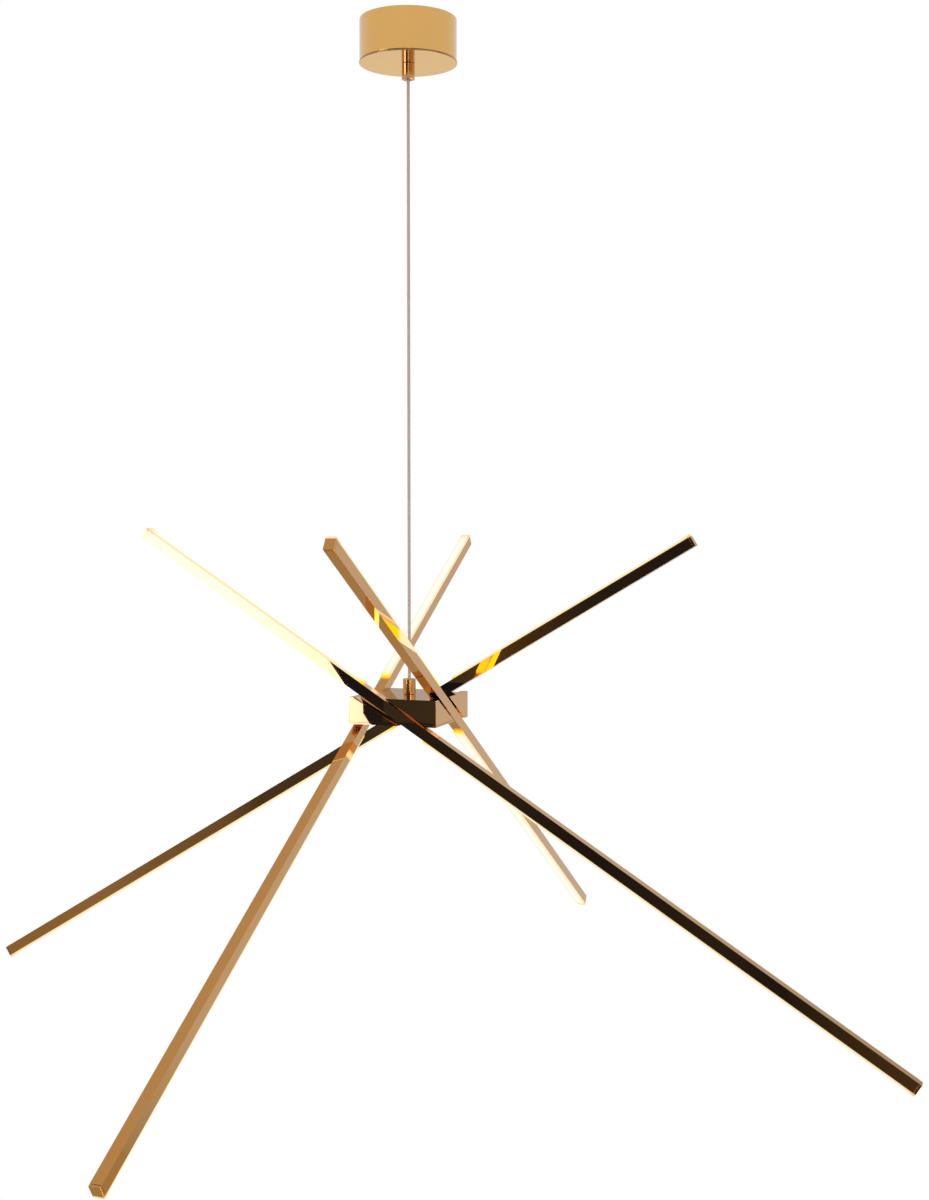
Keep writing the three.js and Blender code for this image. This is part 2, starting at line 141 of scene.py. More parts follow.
# ---------- materials ----------
class Nodes:
    """A material with one Principled shader, and short calls to add nodes to it."""

    def __init__(self, name):
        self.material = bpy.data.materials.new(name)
        self.material.use_nodes = True
        self.tree = self.material.node_tree
        self.shader = self.tree.nodes["Principled BSDF"]

    def new(self, kind, **values):
        node = self.tree.nodes.new(kind)
        for key, value in values.items():
            setattr(node, key, value)
        return node

    def link(self, source, target):
        self.tree.links.new(source, target)

    def set(self, **values):
        for key, value in values.items():
            self.shader.inputs[key.replace("_", " ")].default_value = value

    def noise(self, scale, detail=3.0, stretch=None):
        """Soft noise from 0 to 1; a larger scale makes finer spots, and stretch scales it by axis."""
        coordinates = self.new("ShaderNodeTexCoord")
        source = coordinates.outputs["Object"]
        if stretch:
            mapping = self.new("ShaderNodeMapping")
            mapping.inputs["Scale"].default_value = stretch
            self.link(source, mapping.inputs["Vector"])
            source = mapping.outputs["Vector"]
        noise = self.new("ShaderNodeTexNoise")
        noise.inputs["Scale"].default_value = scale
        noise.inputs["Detail"].default_value = detail
        self.link(source, noise.inputs["Vector"])
        return noise.outputs["Fac"]

    def colours(self, source, stops):
        """A colour that changes with a source from 0 to 1, as (place, colour) stops."""
        ramp = self.new("ShaderNodeValToRGB")
        elements = ramp.color_ramp.elements
        while len(elements) < len(stops):
            elements.new(0.5)
        for element, (place, colour) in zip(elements, stops):
            element.position = place
            element.color = (*colour, 1.0)
        self.link(source, ramp.inputs["Fac"])
        return ramp.outputs["Color"]

    def ramp(self, source, stops, socket):
        """Drives a colour socket with a source from 0 to 1."""
        self.link(self.colours(source, stops), self.shader.inputs[socket])

    def spread(self, source, low, high, socket):
        """Drives a number socket with a source from 0 to 1, spread from low to high."""
        spread = self.new("ShaderNodeMapRange")
        spread.inputs["From Min"].default_value = 0.3
        spread.inputs["From Max"].default_value = 0.7
        spread.inputs["To Min"].default_value = low
        spread.inputs["To Max"].default_value = high
        self.link(source, spread.inputs["Value"])
        self.link(spread.outputs["Result"], self.shader.inputs[socket])

    def bump(self, source, distance):
        bump = self.new("ShaderNodeBump")
        bump.inputs["Strength"].default_value = 1.0
        bump.inputs["Distance"].default_value = distance
        self.link(source, bump.inputs["Height"])
        self.link(bump.outputs["Normal"], self.shader.inputs["Normal"])


def gold(name, colour, roughness=(0.006, 0.014), wave=1.2e-7, lacquer=0.015):
    """Mirror-polished plating under clear lacquer: faint polishing haze and a very slow wave."""
    nodes = Nodes(name)
    nodes.set(Metallic=1.0, Coat_Weight=1.0, Coat_Roughness=lacquer)
    darker = [0.95 * c for c in colour]
    nodes.ramp(nodes.noise(scale=9.0, detail=4.0), [(0.35, darker), (0.65, colour)], "Base Color")
    nodes.spread(nodes.noise(scale=60.0, detail=5.0), *roughness, "Roughness")
    nodes.bump(nodes.noise(scale=14.0, detail=1.0), wave)
    return nodes.material


def plain_metal(name, colour, roughness=(0.28, 0.45)):
    """Bare zinc-plated or coppered metal with a fine grain."""
    nodes = Nodes(name)
    nodes.set(Metallic=1.0)
    darker = [0.7 * c for c in colour]
    nodes.ramp(nodes.noise(scale=220.0, detail=6.0), [(0.3, darker), (0.7, colour)], "Base Color")
    nodes.spread(nodes.noise(scale=500.0, detail=4.0), *roughness, "Roughness")
    nodes.bump(nodes.noise(scale=1400.0, detail=3.0), 1.5e-5)
    return nodes.material


def plastic(name, colour, roughness=(0.38, 0.55)):
    """Moulded plastic with a fine spark-eroded grain."""
    nodes = Nodes(name)
    darker = [0.9 * c for c in colour]
    nodes.ramp(nodes.noise(scale=120.0, detail=4.0), [(0.3, darker), (0.7, colour)], "Base Color")
    nodes.spread(nodes.noise(scale=300.0, detail=3.0), *roughness, "Roughness")
    nodes.bump(nodes.noise(scale=2500.0, detail=2.0), 2e-5)
    return nodes.material


LENS_GLOW = 1.38
# a lens's light from its foot, round its shoulder, to its crest
LENS_ACROSS = [
    (0.00, (0.78, 0.60, 0.28)), (0.10, (0.88, 0.74, 0.42)), (0.30, (0.96, 0.87, 0.63)),
    (0.36, (0.82, 0.69, 0.42)), (0.60, (0.84, 0.73, 0.50)), (0.68, (0.96, 0.92, 0.80)),
    (1.00, (1.00, 0.96, 0.87)),
]
# its light along it: two ways for the end at the hub, and then the way to the tip
YELLOW_END = [
    (0.00, (1.00, 0.66, 0.04)), (0.04, (0.95, 0.70, 0.10)), (0.08, (0.82, 0.72, 0.36)),
    (0.20, (0.73, 0.71, 0.62)), (0.35, (0.71, 0.71, 0.70)),
]
LONG_YELLOW_END = [(0.00, (1.30, 1.10, 0.0)), (0.28, (1.25, 1.05, 0.0)), (0.36, (0.90, 0.80, 0.36))]
LENS_TO_TIP = [
    (0.50, (0.71, 0.71, 0.71)), (0.78, (0.71, 0.70, 0.66)), (0.90, (0.70, 0.60, 0.46)),
    (1.00, (0.66, 0.46, 0.24)),
]
LENS_BASE = [(0.05, (0.16, 0.07, 0.0)), (0.2, (0.18, 0.16, 0.12))]


def lit_lens(name, hub_end):
    """Lit opal lens.

    Its UV map runs along it in X, from 0 at the hub to 1 at the tip, and in Y from its foot to its crest.
    """
    nodes = Nodes(name)
    nodes.set(Roughness=0.4, Specular_IOR_Level=0.3, Emission_Strength=LENS_GLOW)
    split = nodes.new("ShaderNodeSeparateXYZ")
    nodes.link(nodes.new("ShaderNodeUVMap", uv_map="lens").outputs["UV"], split.inputs["Vector"])
    nodes.ramp(split.outputs["X"], LENS_BASE, "Base Color")
    both = nodes.new("ShaderNodeVectorMath", operation="MULTIPLY")
    nodes.link(nodes.colours(split.outputs["Y"], LENS_ACROSS), both.inputs[0])
    nodes.link(nodes.colours(split.outputs["X"], hub_end + LENS_TO_TIP), both.inputs[1])
    nodes.link(both.outputs["Vector"], nodes.shader.inputs["Emission Color"])
    return nodes.material


def braided_sheath(name):
    """Grey braid under a clear sheath; the strands are real ribs, and this adds the fine wires."""
    nodes = Nodes(name)
    wires = nodes.noise(scale=900.0, detail=4.0, stretch=(1.0, 1.0, 0.25))
    nodes.ramp(wires, [(0.3, (0.76, 0.66, 0.64)), (0.7, (0.88, 0.79, 0.77))], "Base Color")
    nodes.set(Coat_Weight=0.2, Coat_Roughness=0.3)
    nodes.spread(wires, 0.45, 0.6, "Roughness")
    nodes.bump(wires, 1e-5)
    return nodes.material


GOLD = gold("lamp_gold", (0.81, 0.45, 0.135))
TURNED_GOLD = gold("turned_gold", (0.70, 0.38, 0.13), (0.17, 0.22), lacquer=0.2)
# painted shade: a darker, rougher copy of the gold for the canopy disc's rim, which paints the dark line of shade
# at its seam under the drum
SHADED_RIM_GOLD = gold("shaded_rim_gold", (0.42, 0.25, 0.11), (0.2, 0.3), lacquer=0.25)
CANOPY_GOLD = gold("canopy_gold", (0.97, 0.53, 0.125), (0.02, 0.05))
STEEL = plain_metal("zinc_steel", (0.62, 0.63, 0.65))
DARK_STEEL = plain_metal("dark_screw_steel", (0.16, 0.15, 0.14), (0.3, 0.45))
WHITE_PLASTIC = plastic("white_plastic", (0.80, 0.80, 0.77))
GREY_PLASTIC = plastic("grey_plastic", (0.30, 0.30, 0.31))
BOARD = plastic("led_board", (0.82, 0.80, 0.74))
CHIP = plastic("led_chip", (0.85, 0.62, 0.18), (0.2, 0.3))
COPPER = plain_metal("copper_pad", (0.85, 0.45, 0.28), (0.2, 0.3))
LENS_MATERIAL = lit_lens("lit_lens", YELLOW_END)
YELLOW_LENS_MATERIAL = lit_lens("yellow_ended_lens", LONG_YELLOW_END)
SHEATH = braided_sheath("braided_sheath")


# ---------- making pieces ----------
def piece(name, mesh, node, *materials):
    """A new object that stands for a CAD node: it rides on the node's body, takes the given materials and hides
    the node.
    """
    thing = bpy.data.objects.new(name, mesh)
    bpy.context.scene.collection.objects.link(thing)
    for material in materials:
        mesh.materials.append(material)
    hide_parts(node)
    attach(thing, BODY_OF[node])
    return thing


def mesh_from(bm, name, smooth=True):
    mesh = bpy.data.meshes.new(name)
    bmesh.ops.recalc_face_normals(bm, faces=bm.faces)
    for face in bm.faces:
        face.smooth = smooth
    bm.to_mesh(mesh)
    bm.free()
    return mesh


SHARP_EDGE = math.radians(30.0)


def soften(thing, width, segments=2):
    """Rounds the sharp edges and keeps the flat faces flat."""
    bevel = thing.modifiers.new("rounded_edges", "BEVEL")
    bevel.width = width
    bevel.segments = segments
    bevel.limit_method = "ANGLE"
    bevel.angle_limit = SHARP_EDGE
    bevel.use_clamp_overlap = True
    bevel.miter_outer = "MITER_ARC"
    return keep_flat(thing)


def keep_flat(thing):
    """Lets large faces set the shading, so that a rounded edge doesn't bend the reflections beside it."""
    normals = thing.modifiers.new("flat_faces", "WEIGHTED_NORMAL")
    normals.mode = "FACE_AREA"
    normals.weight = 100
    return thing


def cad_copy(node):
    """The CAD node's own shape as a bmesh, with its flat faces whole again."""
    same_place = 0.002 * MM
    same_plane = math.radians(0.4)
    bm = bmesh.new()
    bm.from_mesh(frame["nodes"][node].data)
    bmesh.ops.remove_doubles(bm, verts=bm.verts, dist=same_place)
    bmesh.ops.dissolve_limit(
        bm, angle_limit=same_plane, verts=bm.verts, edges=bm.edges,
        use_dissolve_boundaries=False, delimit={"NORMAL"},
    )
    return bm


def rounded_node(node, name, material, width, segments=2):
    """A copy of a CAD node with its edges rounded."""
    return soften(piece(name, mesh_from(cad_copy(node), name), node, material), width, segments)


ON_AXIS = 1e-7


def lathe(outline, sides=96):
    """A ring or solid of revolution about Z through the origin; outline is a closed list of (radius, z)."""
    bm = bmesh.new()
    rings = []
    for radius, z in outline:
        if radius < ON_AXIS:
            rings.append([bm.verts.new((0, 0, z))] * sides)
            continue
        turn = [2 * math.pi * i / sides for i in range(sides)]
        rings.append([bm.verts.new((radius * math.cos(a), radius * math.sin(a), z)) for a in turn])
    for i, ring in enumerate(rings):
        following = rings[(i + 1) % len(rings)]
        for j in range(sides):
            k = (j + 1) % sides
            corners = []
            for vertex in (ring[j], ring[k], following[k], following[j]):
                if vertex not in corners:
                    corners.append(vertex)
            if len(corners) > 2:
                bm.faces.new(corners)
    return bm


def rounded(corners, radius, steps=4):
    """The closed outline with each of its corners turned into a small arc."""
    most_of_edge = 0.4
    result = []
    count = len(corners)
    for i, corner in enumerate(corners):
        here = Vector(corner)
        before = Vector(corners[i - 1]) - here
        after = Vector(corners[(i + 1) % count]) - here
        if here.x < ON_AXIS:
            result.append(tuple(here))
            continue
        reach = min(radius, before.length * most_of_edge, after.length * most_of_edge)
        start = here + before.normalized() * reach
        end = here + after.normalized() * reach
        for step in range(steps + 1):
            t = step / steps
            point = start * (1 - t) ** 2 + here * 2 * t * (1 - t) + end * t * t
            result.append(tuple(point))
    return result


def box_mesh(bm, low, high, matrix=None, material=0):
    """Adds a box to a bmesh and returns its faces."""
    low = Vector(low)
    high = Vector(high)
    matrix = matrix or Matrix()
    place = matrix @ Matrix.Translation((low + high) / 2) @ Matrix.Diagonal((*(high - low), 1))
    made = bmesh.ops.create_cube(bm, size=1.0, matrix=place)
    faces = {face for vertex in made["verts"] for face in vertex.link_faces}
    for face in faces:
        face.material_index = material
    return faces


def rod_mesh(bm, radius, start, end, sides=32):
    """Adds a closed cylinder between two points to a bmesh."""
    start = Vector(start)
    end = Vector(end)
    turn = (end - start).to_track_quat("Z", "Y").to_matrix().to_4x4()
    place = Matrix.Translation((start + end) / 2) @ turn
    bmesh.ops.create_cone(
        bm, cap_ends=True, segments=sides, radius1=radius, radius2=radius,
        depth=(end - start).length, matrix=place,
    )


def carve(thing, cutter):
    """Cuts the cutter's shape out of a piece and removes the cutter."""
    tool = bpy.data.objects.new("cutter", mesh_from(cutter, "cutter", smooth=False))
    bpy.context.scene.collection.objects.link(tool)
    cut = thing.modifiers.new("cut", "BOOLEAN")
    cut.operation = "DIFFERENCE"
    cut.solver = "EXACT"
    cut.use_self = True
    cut.object = tool
    bpy.context.view_layer.update()
    graph = bpy.context.evaluated_depsgraph_get()
    carved = bpy.data.meshes.new_from_object(thing.evaluated_get(graph))
    thing.modifiers.clear()
    thing.data = carved
    bpy.data.objects.remove(tool)
    return thing


# ---------- canopy ----------
CANOPY_SIDES = 160
DRUM = {"wall": 1.5 * MM, "flange": 6 * MM, "rounding": 0.35 * MM, "screw_hole": 2.2 * MM}
DISC = {"hole": 5.3 * MM, "rounding": 0.45 * MM, "rim": 0.3 * MM}
SIDE_SCREW = {"radius": 2 * MM, "recess": 0.25 * MM}
GRIP_SCREW = {"radius": 1.5 * MM, "recess": 0.1 * MM, "hole": 1.7 * MM}


def make_drum():
    low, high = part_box("canopy_drum")
    outer = high.x
    inner = outer - DRUM["wall"]
    lip = inner - DRUM["flange"]
    sill = low.z + DRUM["wall"]
    outline = [(lip, low.z), (outer, low.z), (outer, high.z), (inner, high.z), (inner, sill), (lip, sill)]
    shell = mesh_from(lathe(rounded(outline, DRUM["rounding"]), CANOPY_SIDES), "drum")
    drum = piece("canopy_drum_shell", shell, "canopy_drum", CANOPY_GOLD)
    left = middle("canopy_side_screw_left")
    right = middle("canopy_side_screw_right")
    beyond = (right - left).normalized() * 12 * MM
    cutter = bmesh.new()
    rod_mesh(cutter, DRUM["screw_hole"], left - beyond, right + beyond, 48)
    keep_flat(carve(drum, cutter))


def make_base_disc():
    low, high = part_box("canopy_base")
    hole = DISC["hole"]
    outline = [(hole, low.z), (high.x, low.z), (high.x, high.z), (hole, high.z)]
    disc = lathe(rounded(outline, DISC["rounding"]), CANOPY_SIDES)
    # painted shade: the faces round the disc's rim take the darker gold, which paints the dark line of shade at
    # the seam
    for shaded_rim_face in disc.faces:
        if shaded_rim_face.calc_center_median().xy.length > high.x - DISC["rim"]:
            shaded_rim_face.material_index = 1
    keep_flat(piece("canopy_base_disc", mesh_from(disc, "base"), "canopy_base", CANOPY_GOLD, SHADED_RIM_GOLD))


def half_length(node, direction):
    return max((point - middle(node)).dot(direction) for point in points_of(node))


def grub_screw(node, name, radius, outward, recess, material):
    """A headless screw with a hexagon socket in its outer end."""
    reach = outward * half_length(node, outward)
    start = middle(node) - reach
    end = middle(node) + reach - outward * recess
    bm = bmesh.new()
    rod_mesh(bm, radius, start, end)
    screw = piece(name, mesh_from(bm, name), node, material)
    cutter = bmesh.new()
    socket_radius = radius * 0.55
    socket_depth = radius * 1.1
    rod_mesh(cutter, socket_radius, end - outward * socket_depth, end + outward * radius, 6)
    carve(screw, cutter)
    return soften(screw, 0.12 * MM)


def make_canopy_screws():
    for side in ("left", "right"):
        node = f"canopy_side_screw_{side}"
        outward = Vector((*middle(node).xy, 0)).normalized()
        grub_screw(node, f"side_grub_screw_{side}", SIDE_SCREW["radius"], outward, SIDE_SCREW["recess"],
                   TURNED_GOLD)


# the two cable fittings are alike, but stand opposite ways up
FITTING = {"radius": 7 * MM, "nipple": 5 * MM, "nipple_length": 10 * MM, "bore": 2.5 * MM,
           "chamfer": 0.5 * MM, "flare_depth": 1.9 * MM, "rounding": 0.25 * MM}
GRIP_MOUTH = 3.6 * MM
GLAND_MOUTH = 2.9 * MM


def fitting_outline(low_z, high_z, mouth):
    """Cylinder and nipple about a bore, which flares out to the mouth; the nipple is the end at high_z."""
    outer, nipple, bore, chamfer = (FITTING[key] for key in ("radius", "nipple", "bore", "chamfer"))
    seat = high_z - FITTING["nipple_length"]
    return [
        (bore, low_z + FITTING["flare_depth"]), (mouth, low_z), (outer - chamfer, low_z),
        (outer, low_z + chamfer), (outer, seat), (nipple, seat), (nipple, high_z), (bore, high_z),
    ]


def turned_fitting(node, name, outline):
    mesh = mesh_from(lathe(rounded(outline, FITTING["rounding"])), name)
    return piece(name, mesh, node, TURNED_GOLD)


def make_fittings():
    low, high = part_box("cable_grip")
    grip = turned_fitting("cable_grip", "cable_grip_body", fitting_outline(low.z, high.z, GRIP_MOUTH))
    screw_z = middle("cable_grip_screw").z
    cutter = bmesh.new()
    rod_mesh(cutter, GRIP_SCREW["hole"], (0, 1 * MM, screw_z), (0, 9 * MM, screw_z))
    keep_flat(carve(grip, cutter))
    backwards = Vector((0, 1, 0))
    grub_screw("cable_grip_screw", "grip_grub_screw", GRIP_SCREW["radius"], backwards,
               GRIP_SCREW["recess"], DARK_STEEL)
    low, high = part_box("hub_gland")
    upside_down = [(radius, low.z + high.z - z) for radius, z in fitting_outline(low.z, high.z, GLAND_MOUTH)]
    keep_flat(turned_fitting("hub_gland", "hub_gland_body", upside_down))


FITTINGS_TURN = math.radians(20)
CASE = {"seam_height": 0.62, "half_gap": 0.25 * MM, "lip": 0.35 * MM, "lip_half_height": 0.3 * MM,
        "rounding": 0.3 * MM}
DRIVER_SLOTS = {"count": 4, "depth": 3 * MM, "half_width": 1.6 * MM, "foot": 4 * MM, "top": 8 * MM}
TERMINALS = {"count": 3, "screw_well": 2.4 * MM, "well_depth": 4 * MM, "wire_way": 2.0 * MM,
             "wire_height": 9 * MM, "wire_depth": 5 * MM}


def moulded_case(node, name, turn):
    """A two-part case: its lid is parted from it by a thin seam, with a lip behind the seam."""
    low, high = local_box(node, turn)
    gap = CASE["half_gap"]
    lip = Vector((CASE["lip"], CASE["lip"], 0))
    seam = low.z + (high.z - low.z) * CASE["seam_height"]
    lip_foot = seam - CASE["lip_half_height"]
    lip_top = seam + CASE["lip_half_height"]
    bm = bmesh.new()
    box_mesh(bm, low, (high.x, high.y, seam - gap), turn)
    box_mesh(bm, Vector((low.x, low.y, lip_foot)) + lip, Vector((high.x, high.y, lip_top)) - lip, turn)
    box_mesh(bm, (low.x, low.y, seam + gap), high, turn)
    return piece(name, mesh_from(bm, name, smooth=False), node, WHITE_PLASTIC)


def make_driver():
    """The driver's case, with slots for the wires in its end."""
    turn = Matrix.Rotation(FITTINGS_TURN, 4, "Z")
    case = moulded_case("led_driver", "driver_case", turn)
    low, high = local_box("led_driver", turn)
    slots = DRIVER_SLOTS
    pitch = (high.y - low.y) / (slots["count"] + 1)
    cutter = bmesh.new()
    for i in range(slots["count"]):
        y = low.y + pitch * (i + 1)
        box_mesh(cutter, (high.x - slots["depth"], y - slots["half_width"], low.z + slots["foot"]),
                 (high.x + MM, y + slots["half_width"], low.z + slots["top"]), turn)
    carve(case, cutter)
    soften(case, CASE["rounding"])


def make_terminal_block():
    """The terminal block's case, with a screw well from below and a wire way from the side for each pole."""
    turn = Matrix.Rotation(FITTINGS_TURN, 4, "Z")
    case = moulded_case("mains_terminal_block", "terminal_case", turn)
    low, high = local_box("mains_terminal_block", turn)
    poles = TERMINALS
    pitch = (high.x - low.x) / poles["count"]
    cutter = bmesh.new()
    for i in range(poles["count"]):
        x = low.x + pitch * (i + 0.5)
        well = turn @ Vector((x, (low.y + high.y) / 2, low.z - MM))
        rod_mesh(cutter, poles["screw_well"], well, well + Vector((0, 0, poles["well_depth"] + MM)), 24)
        way = turn @ Vector((x, low.y - MM, low.z + poles["wire_height"]))
        inwards = turn.to_3x3() @ Vector((0, poles["wire_depth"] + MM, 0))
        rod_mesh(cutter, poles["wire_way"], way, way + inwards, 24)
    carve(case, cutter)
    soften(case, CASE["rounding"])


# ---------- cable ----------
CABLE_RADIUS = 1.7 * MM
CABLE_SIDES = 36
STRANDS = 6
STRAND_PITCH = 30 * MM
RIB = 0.035 * MM


def braided_tube(path, radius, step):
    """A tube along a list of points, with ribs that wind round it like laid strands."""
    lengths = [0.0]
    for before, after in zip(path, path[1:]):
        lengths.append(lengths[-1] + (after - before).length)
    count = max(2, round(lengths[-1] / step))
    bm = bmesh.new()
    rings = []
    normal = None
    segment = 0
    for i in range(count + 1):
        at = lengths[-1] * i / count
        while segment < len(path) - 2 and lengths[segment + 1] < at:
            segment += 1
        span = lengths[segment + 1] - lengths[segment]
        place = path[segment].lerp(path[segment + 1], (at - lengths[segment]) / span)
        tangent = (path[segment + 1] - path[segment]).normalized()
        if normal is None:
            normal = tangent.orthogonal().normalized()
        normal = (normal - tangent * normal.dot(tangent)).normalized()
        side = tangent.cross(normal)
        twist = 2 * math.pi * at / STRAND_PITCH
        ring = []
        for j in range(CABLE_SIDES):
            angle = 2 * math.pi * j / CABLE_SIDES
            groove = abs(math.sin(STRANDS * (angle - twist) / 2))
            reach = radius - RIB * (1 - groove) ** 1.5
            outward = normal * math.cos(angle) + side * math.sin(angle)
            ring.append(bm.verts.new(place + outward * reach))
        rings.append(ring)
    for ring, following in zip(rings, rings[1:]):
        for j in range(CABLE_SIDES):
            k = (j + 1) % CABLE_SIDES
            bm.faces.new((ring[j], ring[k], following[k], following[j]))
    bm.faces.new(rings[0])
    bm.faces.new(reversed(rings[-1]))
    return bm


def smooth_path(corners, steps=8):
    """Points on a Catmull-Rom curve through the corners."""
    corners = [Vector(corner) for corner in corners]
    padded = [2 * corners[0] - corners[1], *corners, 2 * corners[-1] - corners[-2]]
    path = []
    for a, b, c, d in zip(padded, padded[1:], padded[2:], padded[3:]):
        for step in range(steps):
            t = step / steps
            path.append(0.5 * ((2 * b) + (c - a) * t + (2 * a - 5 * b + 4 * c - d) * t * t
                               + (3 * b - a - 3 * c + d) * t ** 3))
    path.append(corners[-1])
    return path


RIB_STEP = 0.7 * MM
# the cable's way inside the canopy, in millimetres, as the CAD part lays it
TAIL_ROUTE = [
    (0, 0, -58.6), (0, 0, -50), (0, 0, -42), (0, 0, -36), (-3, 0, -30.5), (-10, 0, -27.5),
    (-19, 0, -25.5), (-28, 1, -22.5), (-35, 4, -19), (-39.5, 9, -16.5), (-41.5, 14.5, -15),
    (-40, 19, -14.3), (-36.5, 21.5, -14), (-32.6, 21.5, -14),
]


def make_cable():
    low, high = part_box("suspension_cable")
    top = Vector((0, 0, high.z))
    bottom = Vector((0, 0, low.z))
    cable = piece("braided_cable", mesh_from(braided_tube([top, bottom], CABLE_RADIUS, RIB_STEP), "cable"),
                  "suspension_cable", SHEATH)
    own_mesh(cable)
    low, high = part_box("cable_neck")
    centre = middle("cable_neck")
    slimmer = CABLE_RADIUS - 0.05 * MM
    neck = braided_tube([Vector((*centre.xy, high.z)), Vector((*centre.xy, low.z))], slimmer, 0.3 * MM)
    piece("braided_cable_neck", mesh_from(neck, "neck"), "cable_neck", SHEATH)
    turn = Matrix.Rotation(FITTINGS_TURN, 3, "Z")
    path = smooth_path([turn @ Vector(point) * MM for point in TAIL_ROUTE])
    tail = braided_tube(path, CABLE_RADIUS, RIB_STEP)
    piece("braided_cable_tail", mesh_from(tail, "tail"), "cable_tail", SHEATH)


# ---------- hub ----------
PLATE_SCREW = {"head_height": 1.6 * MM, "socket_radius": 1.15 * MM, "socket_depth": 1.1 * MM}


def countersunk_screw(node, name):
    """A screw that is driven from below, with its flat head at the foot and a hexagon socket in it."""
    low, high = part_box(node)
    centre = middle(node)
    head = high.x - centre.x
    shank = head / 2
    seat = low.z + PLATE_SCREW["head_height"]
    bm = lathe([(0, low.z), (head, low.z), (shank, seat), (shank, high.z), (0, high.z)], 48)
    bmesh.ops.translate(bm, verts=bm.verts, vec=(*centre.xy, 0))
    screw = piece(name, mesh_from(bm, "screw"), node, TURNED_GOLD)
    cutter = bmesh.new()
    socket_top = low.z + PLATE_SCREW["socket_depth"]
    rod_mesh(cutter, PLATE_SCREW["socket_radius"], (*centre.xy, low.z - MM), (*centre.xy, socket_top), 6)
    carve(screw, cutter)
    soften(screw, 0.1 * MM)


def make_hub():
    rounded_node("hub_body", "hub_block", GOLD, 0.5 * MM, 3)
    rounded_node("hub_bottom_plate", "hub_plate", GOLD, 0.4 * MM, 3)
    for corner in ("front_left", "front_right", "back_left", "back_right"):
        countersunk_screw(f"plate_screw_{corner}", f"countersunk_screw_{corner}")


# ---------- light bars ----------
LENS_SHOULDER = 0.8 * MM
LENS_CROWN = 0.15 * MM
LENS_GAP = 0.05 * MM
LENS_EDGE = {"height": 0.3 * MM, "pull": 0.25 * MM, "reach": 0.5 * MM}
LENS_RINGS = [0, 0.15 * MM, 0.5 * MM, 2 * MM, 4 * MM, 7 * MM, 12 * MM, 20 * MM]
LENS_GLOW_REACH = 30 * MM
LENS_STEM = {"half_width": 4.0 * MM, "depth": 1.6 * MM, "overlap": 0.3 * MM, "from_hub_end": 0.3 * MM,
             "from_tip": 7.3 * MM}
# shares of the way from a lens's foot to its crest, which its light follows
SHARE = {"foot": 0.1, "shoulder": 0.34, "flat": 0.58, "crest": 1.0}


def lens_section(half, foot, crest):
    """Half of a lens head's section, from the middle of its foot round to its crest, as (y, z, share)."""
    section = [(0, foot, 0), (half, foot, 0), (half, foot + LENS_EDGE["height"], SHARE["foot"])]
    top = crest - LENS_CROWN
    for step in range(7):
        turn = step / 6
        angle = math.pi / 2 * turn
        y = half - LENS_SHOULDER * (1 - math.cos(angle))
        z = top - LENS_SHOULDER * (1 - math.sin(angle))
        section.append((y, z, SHARE["shoulder"] + (SHARE["flat"] - SHARE["shoulder"]) * turn))
    flat = half - LENS_SHOULDER
    for step in range(1, 6):
        way = step / 5
        y = flat * (1 - way)
        z = top + LENS_CROWN * math.cos(math.pi / 2 * y / flat)
        section.append((y, z, SHARE["flat"] + (SHARE["crest"] - SHARE["flat"]) * way))
    return section


def along_lens(place, length):
    """Share of the way along a lens; it runs fast near the two ends, where the light changes."""
    if place < length / 2:
        return min(place / LENS_GLOW_REACH, 1) / 2
    return 1 - min((length - place) / LENS_GLOW_REACH, 1) / 2


def lens_mesh(low, high, side, face, matrix):
    """Opal lens: a round-shouldered head as wide as the bar, with a stem that sits in the bar's window.

    Its side is 1 for a bar's upper lens and -1 for the lower one. Its places run from its end at the hub.
    """
    half = (high.y - low.y) / 2 - LENS_GAP
    crest = max(abs(low.z), abs(high.z))
    right = lens_section(half, face + LENS_GAP, crest)
    section = right + [(-y, z, share) for y, z, share in reversed(right[1:-1])]
    hub_end, tip = (high.x, low.x) if side > 0 else (low.x, high.x)
    length = high.x - low.x
    steps = [*LENS_RINGS, LENS_GLOW_REACH]
    places = steps + [length - step for step in reversed(steps)]
    bm = bmesh.new()
    uv = bm.loops.layers.uv.new("lens")
    rings = []
    for place in places:
        near_end = max(0, 1 - min(place, length - place) / LENS_EDGE["reach"])
        pull = LENS_EDGE["pull"] * near_end ** 2
        x = hub_end - side * place
        ring = []
        for y, z, _ in section:
            inset_y = math.copysign(max(abs(y) - pull, 0), y)
            inset_z = z - pull if z > face + MM else z
            ring.append(bm.verts.new(matrix @ Vector((x, inset_y, side * inset_z))))
        rings.append(ring)
    count = len(section)
    for i in range(len(places) - 1):
        for j in range(count):
            k = (j + 1) % count
            made = bm.faces.new((rings[i][j], rings[i][k], rings[i + 1][k], rings[i + 1][j]))
            corners = ((i, j), (i, k), (i + 1, k), (i + 1, j))
            for loop, (ring, corner) in zip(made.loops, corners):
                loop[uv].uv = (along_lens(places[ring], length), section[corner][2])
    for ring, share_along in ((rings[0], 0.0), (rings[-1], 0.8)):
        for loop in bm.faces.new(ring).loops:
            loop[uv].uv = (share_along, 0.5)
    ends = (hub_end - side * LENS_STEM["from_hub_end"], tip + side * LENS_STEM["from_tip"])
    heights = (side * (face - LENS_STEM["depth"]), side * (face + LENS_STEM["overlap"]))
    across = LENS_STEM["half_width"]
    stem = box_mesh(bm, (min(ends), -across, min(heights)), (max(ends), across, max(heights)), matrix)
    for stem_face in stem:
        stem_face.smooth = False
        for loop in stem_face.loops:
            loop[uv].uv = (0.5, 0)
    return bm


BOARD_THICKNESS = 0.5 * MM
CHIP_PITCH = 16.6 * MM
CHIP_HALF = 1.4 * MM
PAD = {"start": 7 * MM, "end": 9 * MM, "off_middle": 2.6 * MM, "half_width": 0.7 * MM, "height": 0.05 * MM}


